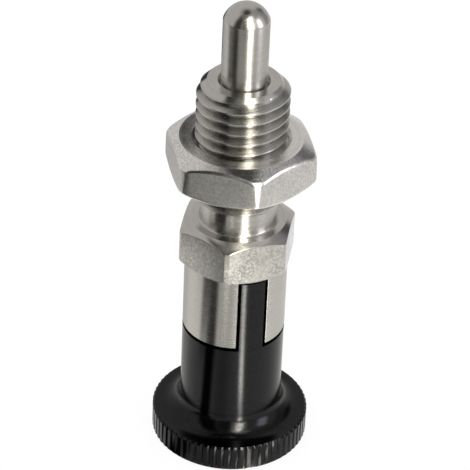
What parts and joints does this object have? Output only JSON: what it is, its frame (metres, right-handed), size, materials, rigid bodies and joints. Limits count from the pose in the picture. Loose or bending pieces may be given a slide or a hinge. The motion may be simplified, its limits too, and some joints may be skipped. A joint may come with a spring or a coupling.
{
  "type": "indexing plunger",
  "caption": "Spring-loaded indexing plunger: threaded hexagon body with a domed locating pin, a thin lock nut and a knurled pull knob with lugs.",
  "frame": {"origin": "centre of the pull knob's end face, on which the part stands", "axes": "+Z along the plunger's axis towards the tip of the locating pin; the knob's two lugs lie on -Y and +Y"},
  "size_m": [0.021, 0.021, 0.0656],
  "materials": {
    "sleeve_steel": "turned, satin",
    "nut_steel": "drawn bar with turned faces",
    "pin_steel": "fine ground",
    "spring_steel": "drawn wire",
    "bush_steel": "turned",
    "knob_anodised": "black anodised, semi-gloss"
  },
  "bodies": {
    "sleeve": {"guide_sleeve": "sleeve_steel", "spring_bush": "bush_steel", "compression_spring": "spring_steel"},
    "plunger": {"indexing_pin": "pin_steel", "pull_knob": "knob_anodised"},
    "nut": {"lock_nut": "nut_steel"}
  },
  "joints": [
    {"name": "pin_pull", "type": "slide", "parent": "sleeve", "child": "plunger", "axis": [0, 0, -1], "range_m": [0, 0.012], "stiffness_N_per_m": 670, "springref_m": -0.009, "deforming": ["compression_spring"]},
    {"name": "nut_travel", "type": "slide", "parent": "sleeve", "child": "nut", "axis": [0, 0, 1], "range_m": [-0.006, 0.0075]}
  ]
}
